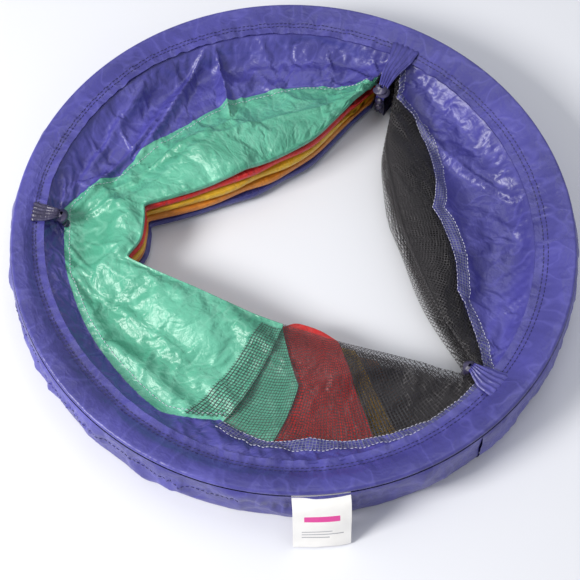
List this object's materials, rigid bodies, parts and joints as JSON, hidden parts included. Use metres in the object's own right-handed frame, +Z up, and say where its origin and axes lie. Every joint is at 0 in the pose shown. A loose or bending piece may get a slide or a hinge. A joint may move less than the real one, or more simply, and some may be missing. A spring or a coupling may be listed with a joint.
{
  "type": "pet agility tunnel",
  "caption": "Round pop-up fabric tunnel folded flat: sprung steel hoops in cloth sleeves, folded coloured cloth panels with net windows, held together by tie ribbons.",
  "frame": {"origin": "on the tunnel's axis, in the plane that the floor sleeve rests on", "axes": "+Z up along the tunnel's axis, the way it opens; +Y away from the side where the tag is sewn; +X to the right"},
  "size_m": [0.48, 0.5069, 0.0508],
  "materials": {
    "sleeve_cloth": "glossy crinkled periwinkle blue taffeta",
    "green_cloth": "glossy crinkled mint green taffeta",
    "red_cloth": "glossy crinkled red taffeta",
    "yellow_cloth": "glossy crinkled yellow taffeta",
    "amber_cloth": "glossy crinkled amber taffeta",
    "blue_cloth": "glossy crinkled deep blue taffeta",
    "net": "dark brown knitted net",
    "ribbon": "woven ribbon",
    "tag_satin": "white woven satin",
    "spring_steel": "oiled spring wire",
    "crimped_steel": "zinc plated"
  },
  "bodies": {
    "floor_ring": {"rim_sleeve_1": "sleeve_cloth", "wire_hoop_1": "spring_steel", "wire_ferrule_1": "crimped_steel", "left_tie_lower": "ribbon", "far_tie_lower": "ribbon", "right_tie_lower": "ribbon"},
    "ring_2": {"rim_sleeve_2": "sleeve_cloth", "wire_hoop_2": "spring_steel", "wire_ferrule_2": "crimped_steel", "blue_panel": "blue_cloth", "blue_net_window": "net", "exit_cuff": "sleeve_cloth"},
    "ring_3": {"rim_sleeve_3": "sleeve_cloth", "wire_hoop_3": "spring_steel", "wire_ferrule_3": "crimped_steel", "amber_panel": "amber_cloth", "amber_net_window": "net"},
    "ring_4": {"rim_sleeve_4": "sleeve_cloth", "wire_hoop_4": "spring_steel", "wire_ferrule_4": "crimped_steel", "yellow_panel": "yellow_cloth", "yellow_net_window": "net"},
    "ring_5": {"rim_sleeve_5": "sleeve_cloth", "wire_hoop_5": "spring_steel", "wire_ferrule_5": "crimped_steel", "red_panel": "red_cloth", "red_net_window": "net"},
    "top_ring": {"rim_sleeve_6": "sleeve_cloth", "wire_hoop_6": "spring_steel", "wire_ferrule_6": "crimped_steel", "green_panel": "green_cloth", "green_net_window": "net", "entry_cuff": "sleeve_cloth", "left_tie_upper": "ribbon", "far_tie_upper": "ribbon", "right_tie_upper": "ribbon", "woven_tag": "tag_satin"}
  },
  "joints": [
    {"name": "blue_section_slide", "type": "slide", "parent": "floor_ring", "child": "ring_2", "axis": [0, 0, 1], "range_m": [0, 0.291], "deforming": ["blue_panel", "blue_net_window", "exit_cuff"]},
    {"name": "amber_section_slide", "type": "slide", "parent": "ring_2", "child": "ring_3", "axis": [0, 0, 1], "range_m": [0, 0.291], "deforming": ["amber_panel", "amber_net_window"]},
    {"name": "yellow_section_slide", "type": "slide", "parent": "ring_3", "child": "ring_4", "axis": [0, 0, 1], "range_m": [0, 0.291], "deforming": ["yellow_panel", "yellow_net_window"]},
    {"name": "red_section_slide", "type": "slide", "parent": "ring_4", "child": "ring_5", "axis": [0, 0, 1], "range_m": [0, 0.291], "deforming": ["red_panel", "red_net_window"]},
    {"name": "green_section_slide", "type": "slide", "parent": "ring_5", "child": "top_ring", "axis": [0, 0, 1], "range_m": [0, 0.291], "deforming": ["green_panel", "green_net_window", "entry_cuff"]}
  ]
}
